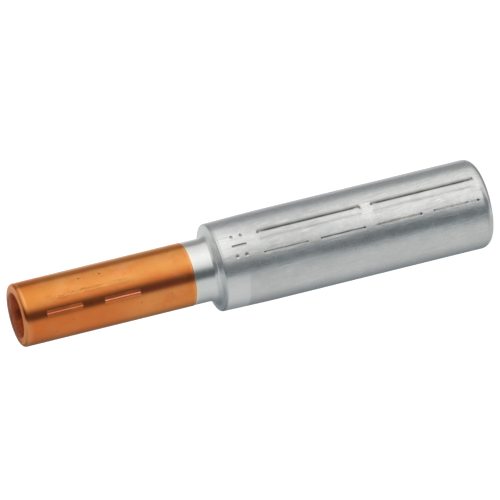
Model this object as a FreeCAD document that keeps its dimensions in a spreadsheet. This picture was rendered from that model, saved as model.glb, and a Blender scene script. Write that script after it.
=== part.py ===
import FreeCAD, Part
import math
import os

import Sketcher

# Bimetallic through connector: a copper sleeve friction-welded to an aluminium sleeve with a
# turned neck. It stands on the aluminium mouth, +Z up, with the copper mouth at the top. The
# origin is the centre of the aluminium mouth face. The side with the crimping marks faces -Y.

V = FreeCAD.Vector
doc = FreeCAD.newDocument("bimetal_connector")

# ---------------------------------------------------------------- driving dimensions (mm, degrees)
DIMS = [
    # aluminium sleeve
    ("total_length", 76.3),
    ("weld_height", 48.6),        # aluminium mouth face to the weld plane
    ("shoulder_height", 44.6),    # aluminium mouth face to the shoulder
    ("lead_length", 8.3),         # the barrel narrows a little towards the shoulder
    ("barrel_od", 14.15),
    ("shoulder_od", 13.84),
    ("neck_od", 9.9),
    ("alu_bore", 8.0),
    ("alu_bore_depth", 42.5),     # to the end of the full diameter
    ("alu_mouth_chamfer", 0.3),
    ("alu_end_radius", 1.5),
    ("shoulder_radius", 0.32),
    ("shoulder_lean", 11.0),      # the shoulder's face rises towards the neck
    ("shoulder_edge_drop", 0.196),  # its outer edge, before rounding, below the shoulder height
    ("root_radius", 1.42),
    # copper sleeve
    ("copper_od", 10.0),
    ("copper_bore", 7.0),
    ("copper_bore_depth", 24.5),
    ("copper_mouth_chamfer", 0.1),
    ("copper_mouth_radius", 0.55),
    ("drill_half_angle", 59.0),   # point of the drilled bore
    # crimping marks on the barrel: two long ones and, beside them, four short ones
    ("long_mark_length", 17.0),
    ("long_mark_width", 1.62),
    ("long_mark_angle", 26.8),
    ("long_mark_first", 29.2),
    ("long_mark_pitch", 18.7),
    ("short_mark_length", 7.5),
    ("short_mark_width", 0.65),
    ("short_mark_angle", 2.4),
    ("short_mark_first", 33.85),
    ("short_mark_pitch", 9.35),
    ("long_mark_depth", 0.14),
    ("short_mark_depth", 0.05),
    # crimping marks on the copper, measured up from the weld
    ("copper_mark_length", 5.95),
    ("copper_mark_width", 0.72),
    ("copper_mark_angle", -7.6),
    ("copper_mark_first", 21.15),
    ("copper_mark_pitch", 9.35),
    ("copper_mark_depth", 0.09),
    ("faint_mark_length", 11.3),
    ("faint_mark_width", 0.65),
    ("faint_mark_angle", 17.5),
    ("faint_mark_height", 16.1),
    ("faint_mark_depth", 0.03),
    # plain punch marks: one bar between two pairs of dots on the barrel, two dots on the copper
    ("punch_height", 41.0),
    ("punch_bar_length", 2.4),
    ("punch_bar_width", 0.42),
    ("punch_bar_angle", 20.0),
    ("punch_dot", 0.62),
    ("punch_dot_gap", 1.5),
    ("punch_dot_angle", 34.0),
    ("punch_dot_spread", 28.0),
    ("punch_depth", 0.1),
    ("copper_dot", 0.5),
    ("copper_dot_gap", 3.4),
    ("copper_dot_height", 16.0),
    ("copper_dot_angle", 43.0),
    ("copper_dot_depth", 0.06),
]
sheet = doc.addObject("Spreadsheet::Sheet", "Dims")
for row, (alias, value) in enumerate(DIMS, start=1):
    sheet.set("A%d" % row, alias)
    sheet.set("B%d" % row, str(value))
    sheet.setAlias("B%d" % row, alias)
doc.recompute()


def dim(alias):
    return float(sheet.get(alias))


def origin_feature(body, role):
    return [f for f in body.Origin.OriginFeatures if f.Role == role][0]


def new_body(label):
    body = doc.addObject("PartDesign::Body", label)
    body.Label = label
    return body


def number(expression):
    """Value of an expression in the sheet's aliases, for a first placing of the sketch points."""
    cell = "B%d" % (len(DIMS) + 2)
    sheet.set(cell, "=" + expression.replace("Dims.", ""))
    sheet.recompute()
    value = float(sheet.get(cell))
    sheet.clear(cell)
    sheet.recompute()
    return value


def section(body, name, points):
    """Closed half section in the body's XZ plane. points: (radius, height) as expressions;
    a radius or height of None lies on the axis or on the base plane."""
    sk = body.newObject("Sketcher::SketchObject", name)
    sk.AttachmentSupport = [(origin_feature(body, "XZ_Plane"), "")]
    sk.MapMode = "FlatFace"
    xy = [V(number(r) if r else 0.0, number(z) if z else 0.0, 0) for r, z in points]
    n = len(xy)
    for i in range(n):
        sk.addGeometry(Part.LineSegment(xy[i], xy[(i + 1) % n]), False)
    for i in range(n):
        sk.addConstraint(Sketcher.Constraint("Coincident", i, 2, (i + 1) % n, 1))
    for i, (r, z) in enumerate(points):
        if r:
            k = sk.addConstraint(Sketcher.Constraint("DistanceX", -1, 1, i, 1, xy[i].x))
            sk.renameConstraint(k, "r%d" % i)
            sk.setExpression("Constraints.r%d" % i, r)
        else:
            sk.addConstraint(Sketcher.Constraint("PointOnObject", i, 1, -2))
        if z:
            k = sk.addConstraint(Sketcher.Constraint("DistanceY", -1, 1, i, 1, xy[i].y))
            sk.renameConstraint(k, "z%d" % i)
            sk.setExpression("Constraints.z%d" % i, z)
        else:
            sk.addConstraint(Sketcher.Constraint("PointOnObject", i, 1, -1))
    doc.recompute()
    return sk


def revolve(body, name, sketch, kind="PartDesign::Revolution"):
    feature = body.newObject(kind, name)
    feature.Profile = sketch
    feature.ReferenceAxis = (sketch, ["V_Axis"])
    feature.Angle = 360.0
    doc.recompute()
    body.Tip = feature
    doc.recompute()
    return feature


def turned_edge(feature, radius, height):
    """Name of the full circle of this radius, at this height, on the feature's own shape."""
    for i, edge in enumerate(feature.Shape.Edges, start=1):
        curve = edge.Curve
        if isinstance(curve, Part.Circle) and abs(curve.Radius - radius) < 1e-4 \
                and abs(curve.Center.z - height) < 1e-4:
            return "Edge%d" % i
    raise RuntimeError("no edge of radius %g at height %g" % (radius, height))


def fillet(body, name, base, radius, height, size):
    feature = body.newObject("PartDesign::Fillet", name)
    feature.Base = (base, [turned_edge(base, radius, height)])
    feature.setExpression("Radius", size)
    doc.recompute()
    body.Tip = feature
    doc.recompute()
    return feature


def mark_sketch(body, name, surface_radius, depth, angle, height):
    """Sketch on a flat tangent to the mark's floor: its normal points out of the wall."""
    sk = body.newObject("Sketcher::SketchObject", name)
    sk.AttachmentSupport = [(origin_feature(body, "XZ_Plane"), "")]
    sk.MapMode = "FlatFace"
    sk.AttachmentOffset = FreeCAD.Placement(V(0, 0, 0), FreeCAD.Rotation(V(0, 1, 0), 1))
    floor = "(%s - %s)" % (surface_radius, depth)
    sk.setExpression("AttachmentOffset.Rotation.Angle", "%s * 1deg" % angle)
    sk.setExpression("AttachmentOffset.Base.x", "%s * sin(%s * 1deg)" % (floor, angle))
    sk.setExpression("AttachmentOffset.Base.y", height)
    sk.setExpression("AttachmentOffset.Base.z", "%s * cos(%s * 1deg)" % (floor, angle))
    doc.recompute()
    return sk


def add_rectangle(sk, width, length):
    w, l = number(width) / 2, number(length) / 2
    corner = [V(-w, -l, 0), V(w, -l, 0), V(w, l, 0), V(-w, l, 0)]
    for i in range(4):
        sk.addGeometry(Part.LineSegment(corner[i], corner[(i + 1) % 4]), False)
    for i in range(4):
        sk.addConstraint(Sketcher.Constraint("Coincident", i, 2, (i + 1) % 4, 1))
    for i, way in ((0, "Horizontal"), (1, "Vertical"), (2, "Horizontal"), (3, "Vertical")):
        sk.addConstraint(Sketcher.Constraint(way, i))
    sk.addConstraint(Sketcher.Constraint("Symmetric", 0, 1, 2, 1, -1, 1))
    k = sk.addConstraint(Sketcher.Constraint("DistanceX", 0, 1, 0, 2, 2 * w))
    sk.renameConstraint(k, "width")
    sk.setExpression("Constraints.width", width)
    k = sk.addConstraint(Sketcher.Constraint("DistanceY", 1, 1, 1, 2, 2 * l))
    sk.renameConstraint(k, "length")
    sk.setExpression("Constraints.length", length)
    doc.recompute()


def add_dot_pair(sk, diameter, gap):
    d, g = number(diameter), number(gap)
    for i, way in ((0, 1), (1, -1)):
        sk.addGeometry(Part.Circle(V(0, way * g / 2, 0), V(0, 0, 1), d / 2), False)
        k = sk.addConstraint(Sketcher.Constraint("Diameter", i, d))
        sk.renameConstraint(k, "dot%d" % i)
        sk.setExpression("Constraints.dot%d" % i, diameter)
    sk.addConstraint(Sketcher.Constraint("PointOnObject", 0, 3, -2))
    sk.addConstraint(Sketcher.Constraint("Symmetric", 0, 3, 1, 3, -1, 1))
    k = sk.addConstraint(Sketcher.Constraint("DistanceY", 1, 3, 0, 3, g))
    sk.renameConstraint(k, "gap")
    sk.setExpression("Constraints.gap", gap)
    doc.recompute()


def cut_out(body, name, sketch):
    """Recess from the sketch's flat out through the wall's surface."""
    before = body.Tip.Shape.Volume
    feature = body.newObject("PartDesign::Pocket", name)
    feature.Profile = sketch
    feature.AllowMultiFace = True
    feature.Type = "Length"
    feature.Length = 1.0
    feature.Reversed = True
    doc.recompute()
    body.Tip = feature
    doc.recompute()
    if not feature.Shape.Volume < before - 1e-4:
        raise RuntimeError("%s removes nothing" % name)
    return feature


def repeat_down(body, name, original, pitch, count):
    """The same recess again further down the axis."""
    before = body.Tip.Shape.Volume
    feature = body.newObject("PartDesign::LinearPattern", name)
    feature.Originals = [original]
    feature.Direction = (origin_feature(body, "Z_Axis"), [""])
    feature.Reversed = True
    feature.Occurrences = count
    feature.setExpression("Length", "%s * %d" % (pitch, count - 1))
    body.Tip = feature
    doc.recompute()
    if not feature.Shape.Volume < before - 1e-4:
        raise RuntimeError("%s adds no recess" % name)
    return feature


def repeat_round(body, name, original, spread, count):
    """The same recess again further round the wall."""
    before = body.Tip.Shape.Volume
    feature = body.newObject("PartDesign::PolarPattern", name)
    feature.Originals = [original]
    feature.Axis = (origin_feature(body, "Z_Axis"), [""])
    feature.Reversed = True
    feature.Occurrences = count
    feature.setExpression("Angle", spread)
    body.Tip = feature
    doc.recompute()
    if not feature.Shape.Volume < before - 1e-4:
        raise RuntimeError("%s adds no recess" % name)
    return feature


# ---------------------------------------------------------------- aluminium sleeve
alu = new_body("aluminium_sleeve")

# turned outline: straight barrel, slight lead towards the shoulder, slightly coned shoulder, neck
SHOULDER_EDGE = "(Dims.shoulder_height - Dims.shoulder_edge_drop)"
SHOULDER_ROOT = ("(Dims.shoulder_height - Dims.shoulder_edge_drop"
                 " + (Dims.shoulder_od - Dims.neck_od) / 2 * tan(Dims.shoulder_lean * 1deg))")
edge_height = dim("shoulder_height") - dim("shoulder_edge_drop")
root_height = edge_height + (dim("shoulder_od") - dim("neck_od")) / 2 * math.tan(
    math.radians(dim("shoulder_lean")))
outline = section(alu, "alu_outline", [
    (None, None),
    ("Dims.barrel_od / 2", None),
    ("Dims.barrel_od / 2", "Dims.shoulder_height - Dims.lead_length"),
    ("Dims.shoulder_od / 2", SHOULDER_EDGE),
    ("Dims.neck_od / 2", SHOULDER_ROOT),
    ("Dims.neck_od / 2", "Dims.weld_height"),
    (None, "Dims.weld_height"),
])
turned = revolve(alu, "alu_turned", outline)
end_round = fillet(alu, "alu_end_round", turned, dim("barrel_od") / 2, 0.0, "Dims.alu_end_radius")
edge_round = fillet(alu, "alu_shoulder_round", end_round, dim("shoulder_od") / 2,
                    edge_height, "Dims.shoulder_radius")
root_round = fillet(alu, "alu_root_round", edge_round, dim("neck_od") / 2,
                    root_height, "Dims.root_radius")

# blind conductor bore with a drill point, its mouth slightly chamfered
bore_section = section(alu, "alu_bore_section", [
    (None, None),
    ("Dims.alu_bore / 2 + Dims.alu_mouth_chamfer", None),
    ("Dims.alu_bore / 2", "Dims.alu_mouth_chamfer"),
    ("Dims.alu_bore / 2", "Dims.alu_bore_depth"),
    (None, "Dims.alu_bore_depth + Dims.alu_bore / 2 / tan(Dims.drill_half_angle * 1deg)"),
])
solid_volume = alu.Tip.Shape.Volume
alu_bored = revolve(alu, "alu_bore", bore_section, "PartDesign::Groove")
bore_volume = math.pi * (dim("alu_bore") / 2) ** 2 * dim("alu_bore_depth")
if not solid_volume - alu_bored.Shape.Volume > bore_volume:
    raise RuntimeError("the aluminium bore is not open")

# long crimping marks
sk = mark_sketch(alu, "long_mark_sketch", "Dims.barrel_od / 2", "Dims.long_mark_depth",
                 "Dims.long_mark_angle", "Dims.long_mark_first")
add_rectangle(sk, "Dims.long_mark_width", "Dims.long_mark_length")
long_mark = cut_out(alu, "long_mark", sk)
repeat_down(alu, "long_marks", long_mark, "Dims.long_mark_pitch", 2)

# short crimping marks
sk = mark_sketch(alu, "short_mark_sketch", "Dims.barrel_od / 2", "Dims.short_mark_depth",
                 "Dims.short_mark_angle", "Dims.short_mark_first")
add_rectangle(sk, "Dims.short_mark_width", "Dims.short_mark_length")
short_mark = cut_out(alu, "short_mark", sk)
repeat_down(alu, "short_marks", short_mark, "Dims.short_mark_pitch", 4)

# plain punch marks near the shoulder: a bar between two pairs of dots. The barrel is already
# narrowing there, so their depth is measured from the lead's own radius at that height.
LEAD_RADIUS = ("(Dims.barrel_od / 2 - (Dims.barrel_od - Dims.shoulder_od) / 2"
               " * (Dims.punch_height - Dims.shoulder_height + Dims.lead_length)"
               " / Dims.lead_length)")
sk = mark_sketch(alu, "punch_bar_sketch", LEAD_RADIUS, "Dims.punch_depth",
                 "Dims.punch_bar_angle", "Dims.punch_height")
add_rectangle(sk, "Dims.punch_bar_width", "Dims.punch_bar_length")
cut_out(alu, "punch_bar", sk)
sk = mark_sketch(alu, "punch_dot_sketch", LEAD_RADIUS, "Dims.punch_depth",
                 "Dims.punch_dot_angle", "Dims.punch_height")
add_dot_pair(sk, "Dims.punch_dot", "Dims.punch_dot_gap")
punch_dot = cut_out(alu, "punch_dot", sk)
repeat_round(alu, "punch_dots", punch_dot, "Dims.punch_dot_spread", 2)

# ---------------------------------------------------------------- copper sleeve
copper = new_body("copper_sleeve")
outline = section(copper, "copper_outline", [
    (None, None),
    ("Dims.copper_od / 2", None),
    ("Dims.copper_od / 2", "Dims.total_length - Dims.weld_height"),
    (None, "Dims.total_length - Dims.weld_height"),
])
turned = revolve(copper, "copper_turned", outline)
fillet(copper, "copper_mouth_round", turned, dim("copper_od") / 2,
       dim("total_length") - dim("weld_height"), "Dims.copper_mouth_radius")

MOUTH = "(Dims.total_length - Dims.weld_height)"
bore_section = section(copper, "copper_bore_section", [
    (None, MOUTH),
    ("Dims.copper_bore / 2 + Dims.copper_mouth_chamfer", MOUTH),
    ("Dims.copper_bore / 2", MOUTH + " - Dims.copper_mouth_chamfer"),
    ("Dims.copper_bore / 2", MOUTH + " - Dims.copper_bore_depth"),
    (None, MOUTH + " - Dims.copper_bore_depth"
           " - Dims.copper_bore / 2 / tan(Dims.drill_half_angle * 1deg)"),
])
solid_volume = copper.Tip.Shape.Volume
copper_bored = revolve(copper, "copper_bore_cut", bore_section, "PartDesign::Groove")
bore_volume = math.pi * (dim("copper_bore") / 2) ** 2 * dim("copper_bore_depth")
if not solid_volume - copper_bored.Shape.Volume > bore_volume:
    raise RuntimeError("the copper bore is not open")

# short crimping marks and, beside them, one long faint mark
sk = mark_sketch(copper, "copper_mark_sketch", "Dims.copper_od / 2", "Dims.copper_mark_depth",
                 "Dims.copper_mark_angle", "Dims.copper_mark_first")
add_rectangle(sk, "Dims.copper_mark_width", "Dims.copper_mark_length")
copper_mark = cut_out(copper, "copper_mark", sk)
repeat_down(copper, "copper_marks", copper_mark, "Dims.copper_mark_pitch", 2)
sk = mark_sketch(copper, "faint_mark_sketch", "Dims.copper_od / 2", "Dims.faint_mark_depth",
                 "Dims.faint_mark_angle", "Dims.faint_mark_height")
add_rectangle(sk, "Dims.faint_mark_width", "Dims.faint_mark_length")
cut_out(copper, "faint_mark", sk)

# two plain punch dots
sk = mark_sketch(copper, "copper_dot_sketch", "Dims.copper_od / 2", "Dims.copper_dot_depth",
                 "Dims.copper_dot_angle", "Dims.copper_dot_height")
add_dot_pair(sk, "Dims.copper_dot", "Dims.copper_dot_gap")
cut_out(copper, "copper_dots", sk)

# the copper sleeve stands on the weld plane, coaxial with the neck
copper.setExpression("Placement.Base.z", "Dims.weld_height")
alu.Placement = FreeCAD.Placement()
doc.recompute()

# ---------------------------------------------------------------- checks and files
for obj in doc.Objects:
    if "Invalid" in obj.State or "Error" in obj.State:
        raise RuntimeError("%s failed: %s" % (obj.Name, obj.State))
for body in (alu, copper):
    shape = body.Shape
    if shape.isNull() or not shape.isValid() or len(shape.Solids) != 1:
        raise RuntimeError("%s has no valid single solid" % body.Label)

os.makedirs("parts", exist_ok=True)
for body in (alu, copper):
    body.Shape.exportStep(os.path.join("parts", body.Label + ".step"))
    box = body.Shape.BoundBox
    print("%s: volume %.1f mm3, z %.3f to %.3f, widest %.3f x %.3f, faces %d" % (
        body.Label, body.Shape.Volume, box.ZMin, box.ZMax, box.XLength, box.YLength,
        len(body.Shape.Faces)))
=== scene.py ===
import math

import bpy
import numpy as np
from mathutils import Matrix, Vector


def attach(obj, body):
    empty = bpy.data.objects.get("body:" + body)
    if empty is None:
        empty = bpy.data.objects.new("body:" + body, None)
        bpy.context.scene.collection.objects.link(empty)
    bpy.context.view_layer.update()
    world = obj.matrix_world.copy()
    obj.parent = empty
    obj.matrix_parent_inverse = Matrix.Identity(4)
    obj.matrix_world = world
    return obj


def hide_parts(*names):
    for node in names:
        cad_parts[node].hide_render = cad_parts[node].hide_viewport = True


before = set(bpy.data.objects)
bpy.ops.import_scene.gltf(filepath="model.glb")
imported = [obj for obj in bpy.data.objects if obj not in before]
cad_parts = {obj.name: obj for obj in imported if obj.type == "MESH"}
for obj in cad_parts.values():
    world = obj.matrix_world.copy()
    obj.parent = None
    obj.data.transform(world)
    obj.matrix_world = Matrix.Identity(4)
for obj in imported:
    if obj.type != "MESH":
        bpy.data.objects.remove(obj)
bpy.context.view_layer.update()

MM = 0.001
scene = bpy.context.scene

# ------------------------------------------------------------------ the part's own sizes (mm)
TOTAL, WELD, SHOULDER, LEAD = 76.3, 48.6, 44.6, 8.3
R_BARREL, R_SHOULDER, R_NECK = 7.075, 6.92, 4.95
R_ALU_BORE, ALU_DEPTH, ALU_CHAMFER = 4.0, 42.5, 0.3
END_ROUND, SHOULDER_ROUND, ROOT_ROUND = 1.5, 0.32, 1.42
R_COPPER, R_COPPER_BORE, COPPER_DEPTH = 5.0, 3.5, 24.5
MOUTH_ROUND, MOUTH_INNER = 0.55, 0.12
SHOULDER_LEAN, SHOULDER_DROP = 11.0, 0.14      # degrees, mm at the outer edge
TAN_DRILL = math.tan(math.radians(59.0))


# ------------------------------------------------------------------ small numeric helpers
def smooth(t):
    t = np.clip(t, 0.0, 1.0)
    return t * t * (3 - 2 * t)


def wobble(x, seed, octaves=4, base=1.0):
    """Smooth repeatable irregularity along one coordinate, about -1 to 1."""
    rng = np.random.RandomState(seed)
    x = np.asarray(x, float)
    out = np.zeros_like(x)
    for k in range(octaves):
        f = base * 1.9 ** k
        out += np.sin(x * f * rng.uniform(0.8, 1.25) + rng.uniform(0, 6.28)) * 0.6 ** k
    return out / 1.8


def wobble2(x, y, seed, n=10, fx=1.0, fy=1.0):
    """Smooth repeatable irregularity over a surface, about -1 to 1."""
    rng = np.random.RandomState(seed)
    out = np.zeros(np.broadcast(x, y).shape)
    for _ in range(n):
        out += np.sin(x * fx * rng.uniform(-1.6, 1.6) + y * fy * rng.uniform(-1.6, 1.6)
                      + rng.uniform(0, 6.28))
    return out / math.sqrt(n) / 1.2


def graded(lo, hi, base, requests):
    """Positions from lo to hi, base apart, closer where a request (from, to, step) asks."""
    out, x = [lo], lo
    while x < hi - 1e-9:
        step = base
        for a, b, s in requests:
            gap = max(a - x, x - b, 0.0)
            step = min(step, s + 0.45 * gap)
        x = min(hi, x + step)
        out.append(x)
    if len(out) > 2 and out[-1] - out[-2] < 0.3 * (out[-2] - out[-3]):
        out.pop(-2)
    return np.array(out)


def arc(cr, cz, radius, a0, a1, n):
    """Points on an arc in the (radius, height) section, angles in degrees."""
    return [(cr + radius * math.cos(math.radians(a)), cz + radius * math.sin(math.radians(a)))
            for a in np.linspace(a0, a1, n)]


# ------------------------------------------------------------------ stamped recesses
def recess(x, z, width, length, top, low, wall_top, wall_low, wall_end=0.5):
    """Depth of a stamped recess at (x, z) from its centre; x runs round the wall, away from the
    bright side. top and low are the depths along its two long edges. Also gives how far inside
    the outline a point is."""
    t = np.clip(x / width + 0.5, 0, 1)
    across = smooth((x + width / 2) / wall_top) * smooth((width / 2 - x) / wall_low)
    along = smooth((length / 2 - np.abs(z)) / wall_end)
    inside = np.minimum(width / 2 - np.abs(x), length / 2 - np.abs(z))
    return across * along * (top + (low - top) * t), inside


def dimple(x, z, size, depth):
    d = np.hypot(x, z) / (size / 2)
    return depth * (1 - smooth((d - 0.35) / 0.75))


def line(inside, at, spread):
    """A dark line that follows a recess's outline, at a distance inside it."""
    return np.exp(-((inside - at) / spread) ** 2)


LONG = dict(angle=-26.8, width=1.62, length=17.0, at=(29.2, 10.5))
SHORT = dict(angle=-2.4, width=0.65, length=7.5, at=(33.85, 24.5, 15.15, 5.8))
# depth along the upper edge, width of its wall, strength and spread of its dark line of painted shade
SHORT_LOOK = ((0.016, 0.12, 0.74, 0.070), (0.018, 0.16, 0.98, 0.098),
              (0.018, 0.34, 0.22, 0.17), (0.014, 0.36, 0.12, 0.17))
# round the wall from the short marks' line, height, size, depth, darkness
PITS = ((-0.10, 11.62, 0.33, 0.10, 1.0), (0.06, 11.66, 0.24, 0.04, 0.5), (-0.12, 9.40, 0.44, 0.05, 0.45),
        (-0.10, 2.20, 0.42, 0.11, 1.0), (-0.15, 4.00, 0.32, 0.05, 0.40),
        (-0.12, 20.92, 0.37, 0.06, 0.85), (-0.15, 37.35, 0.32, 0.03, 0.8), (-0.14, 30.4, 0.28, 0.03, 0.5),
        (-0.12, 28.10, 0.26, 0.03, 0.4), (0.10, 18.72, 0.26, 0.04, -0.9),
        (-0.10, 19.05, 0.22, 0.03, 0.3))
# starts: where the upper edge lies; faces: which way the flat floor faces; wall: from the upper edge
COPPER_MARK = dict(starts=(3.2, 3.9), faces=(15.9, 14.6), wall=(0.50, 0.50), length=5.95, at=(69.75, 60.4))
FAINT_MARK = dict(angle=-17.0, width=0.60, length=11.3, at=(64.7,))
PUNCH_BAR = dict(angle=-20.0, width=0.42, length=2.4, z=41.0)
PUNCH_DOTS = [(a, z) for a in (-34.0, -6.0) for z in (40.25, 41.75)]
COPPER_DOTS = [(-43.0, 62.9), (-43.0, 66.3)]


def barrel_relief(phi, z):
    """How far the barrel's surface lies under the turned cylinder, in mm, and how dark the
    residue and painted shade in its recesses are, 0 to 1, below 0 where a highlight is painted. phi in degrees."""
    r = R_BARREL
    out = np.zeros(np.broadcast(phi, z).shape)
    dark = np.zeros_like(out)
    for k, zc in enumerate(LONG["at"]):
        x = np.radians(phi - LONG["angle"]) * r
        d, inside = recess(x, z - zc, LONG["width"], LONG["length"], 0.17, 0.11, 0.24, 0.60, 1.6)
        out += d * (1 + 0.06 * wobble(z, 11 + k, base=0.5))
        # a line of painted shade along the upper edge, with a blob at its start and a hook at its end
        from_edge = x + LONG["width"] / 2
        reach = smooth((LONG["length"] / 2 - np.abs(z - zc)) / 0.16)
        edge = (0.725 * np.exp(-((from_edge - 0.07) / 0.205) ** 2)
                + 0.30 * np.exp(-((from_edge + 0.22) / 0.20) ** 2)) * reach
        hook_z = z - (zc - LONG["length"] / 2 + 0.13)
        short = zc == min(LONG["at"])
        hook = np.exp(-((hook_z + 0.10 * from_edge) / 0.17) ** 2) * smooth(
            (from_edge + (0.28 if short else 0.1)) / 0.1) * smooth(((0.50 if short else 0.72) - from_edge) / 0.35)
        tail = np.hypot((hook_z - (0.55 if short else 0.22)) / (0.70 if short else 0.34),
                        (from_edge - 0.08) / 0.26)
        blob_z = z - (zc + LONG["length"] / 2 - 0.15)
        blob = np.hypot(blob_z / 0.27, (from_edge - 0.2) / 0.27)
        dark += np.maximum.reduce([
            (1.0 + 0.14 * wobble(z, 21 + k, base=1.1)) * edge, 1.0 * hook, 0.9 * smooth(1.35 - tail),
            0.95 * smooth(1.3 - blob)])
        # a soft band of painted shade near the lower edge, and a painted highlight just below the dark line
        dark += 0.17 * np.exp(-((x - 0.62) / 0.22) ** 2) * reach * (1 + 0.6 * wobble(z, 23 + k, base=0.7))
        dark -= 0.10 * np.exp(-((from_edge - 0.56) / 0.16) ** 2) * reach * (
            1 + 0.5 * wobble(z, 25 + k, base=0.8))
    x = np.radians(phi - SHORT["angle"]) * r
    for k, zc in enumerate(SHORT["at"]):
        top, wall, strength, spread = SHORT_LOOK[k]
        d, inside = recess(x, z - zc, SHORT["width"], SHORT["length"], top, top * 0.8, wall, 0.5, 0.3)
        out += d * (1 + 0.12 * wobble(z, 31 + k, base=0.8))
        reach = smooth((SHORT["length"] / 2 - np.abs(z - zc)) / 0.12)
        edge = x + SHORT["width"] / 2 - 0.15 - 0.02 * wobble(z, 39 + k, base=2.1)
        uneven = (0.35, 0.35, 0.60, 1.30)[k] * wobble(z, 41 + k, base=(1.7, 1.7, 1.7, 2.6)[k])
        # painted shade: a dark line along each mark's upper wall, and for the fainter marks a faint outline and a soft
        # band
        dark += strength * np.exp(-(edge / spread) ** 2) * reach * np.maximum(0, 1 + uneven)
        dark += 0.08 * line(inside, 0.07, 0.06) * (k > 1)
        dark += (0, 0, 0.13, 0.08)[k] * np.exp(-((x + 0.02) / 0.26) ** 2) * reach * (
            1 + 0.6 * wobble(z, 45 + k, base=0.9) + 1.1 * (k == 2) * smooth((z - zc - 0.3) / 1.2))
        # pressed-up flecks beside the fainter marks, shown in colour only: pale painted highlights, with dark specks
        # between
        flecks = wobble2(x, z, 81 + k, n=16, fx=11.0, fy=7.0)
        dark -= (0, 0, 0.50, 0.45)[k] * smooth(flecks - 0.15) * np.exp(-((x - 0.22) / 0.16) ** 2) * reach
        dark -= (0, 0, 0.40, 0.50)[k] * smooth(flecks - 0.15) * np.exp(-((x + 0.60) / 0.28) ** 2) * reach
        dark += (0, 0, 0.16, 0.22)[k] * smooth(-flecks - 0.10) * np.exp(-((x + 0.30) / 0.40) ** 2) * reach
    for dx, zc, size, depth, strength in PITS:
        out += dimple(x - dx, z - zc, size, depth)
        dark += strength * dimple(x - dx, z - zc, size * 1.1, 1.0)
    x = np.radians(phi - PUNCH_BAR["angle"]) * r
    d, inside = recess(x, z - PUNCH_BAR["z"], PUNCH_BAR["width"], PUNCH_BAR["length"],
                       0.12, 0.09, 0.16, 0.16, 0.2)
    out += d
    # painted shade: a dark line inside the bar's outline, strongest along its upper edge
    dark += 0.85 * line(inside, 0.10, 0.10) * smooth((-x / 0.42 + 0.35) / 0.4)
    for a, zc in PUNCH_DOTS:
        x = np.radians(phi - a) * r
        out += dimple(x, z - zc, 0.62, 0.12)
        # residue and painted shade, set towards the upper side of each dot
        dark += 0.75 * dimple(x + 0.07, z - zc, 0.5, 1.0)
    return out, np.clip(dark, -1, 1)


def copper_relief(phi, z):
    r = R_COPPER
    out = np.zeros(np.broadcast(phi, z).shape)
    dark = np.zeros_like(out)
    for k, zc in enumerate(COPPER_MARK["at"]):
        # a flat floor that deepens away from the upper edge, a short wall and a slightly raised lip
        start, faces, edge = (COPPER_MARK[key][k] for key in ("starts", "faces", "wall"))
        t = np.radians(phi - start) * r + 0.02 * wobble(z, 57 + k, base=1.5)
        reach = smooth((COPPER_MARK["length"] / 2 - np.abs(z - zc)) / 0.14)
        turn = np.radians(faces - start)
        floor = np.maximum(0, r * (1 - math.cos(turn) / np.cos(np.clip(t, 0, 0.75) / r - turn)))
        if k == 0:
            lip = -0.031 * (1 - np.clip((t - edge - 0.13) / 0.55, 0, 1)) ** 2
        else:
            lip = -0.034 * (1 - smooth((t - edge - 0.24) / 0.46))
        wall = smooth((t - edge) / (0.13, 0.26)[k])
        out += (floor * (1 - wall) + lip * wall) * reach * (1 + 0.10 * wobble(z, 51 + k, base=1.1))
        # pale scuffs and a painted highlight, most of all along the wall
        dark -= (0.22, 0.52)[k] * np.exp(-((t - edge - (0.10, 0.13)[k]) / 0.13) ** 2) * reach * (
            1 + 0.45 * wobble(z, 53 + k, base=2.3))
        dark -= (0.05, 0.02)[k] * reach * smooth(t / 0.2) * smooth((edge + 0.3 - t) / 0.2)
    for zc in FAINT_MARK["at"]:
        x = np.radians(phi - FAINT_MARK["angle"]) * r
        d, inside = recess(x, z - zc, FAINT_MARK["width"], FAINT_MARK["length"],
                           0.016, 0.034, 0.16, 0.16, 0.4)
        out += d * (0.85 + 0.5 * wobble(z, 61, base=0.9))
        region = smooth(inside / 0.15)
        out += 0.010 * region * wobble2(x, z, 63, n=14, fx=9.0, fy=4.0)
        dark -= 0.5 * np.exp(-((x - 0.16 - 0.05 * wobble(z, 65, base=1.3)) / 0.06) ** 2) * region * (
            0.5 + 0.6 * wobble(z, 67, base=1.0))
        dark += 0.35 * np.exp(-((x + 0.10 - 0.05 * wobble(z, 69, base=1.7)) / 0.06) ** 2) * region * smooth(
            0.2 + wobble(z, 71, base=1.2))
    # dull line below it, and a speckled film over its end nearer the mouth
    x = np.radians(phi + 12.9) * r
    region = smooth((z - 57.6) / 1.2) * smooth((71.2 - z) / 1.0)
    dark += 0.27 * np.exp(-((x + 0.02 * wobble(z, 73, base=1.1)) / 0.27) ** 2) * region * (
        1 + 0.35 * wobble(z, 75, base=1.4))
    x = np.radians(phi + 17.0) * r
    region = smooth((z - 64.5) / 2.0) * smooth((73.0 - z) / 1.0) * np.exp(-(x / 0.55) ** 2)
    dark += 0.30 * region * wobble2(x, z, 77, n=18, fx=12.0, fy=7.0)
    for a, zc in COPPER_DOTS:
        x = np.radians(phi - a) * r
        out += dimple(x, z - zc, 0.5, 0.07)
        dark += 0.5 * dimple(x, z - zc, 0.5, 1.0)
    return out, np.clip(dark, -1, 1)


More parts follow.
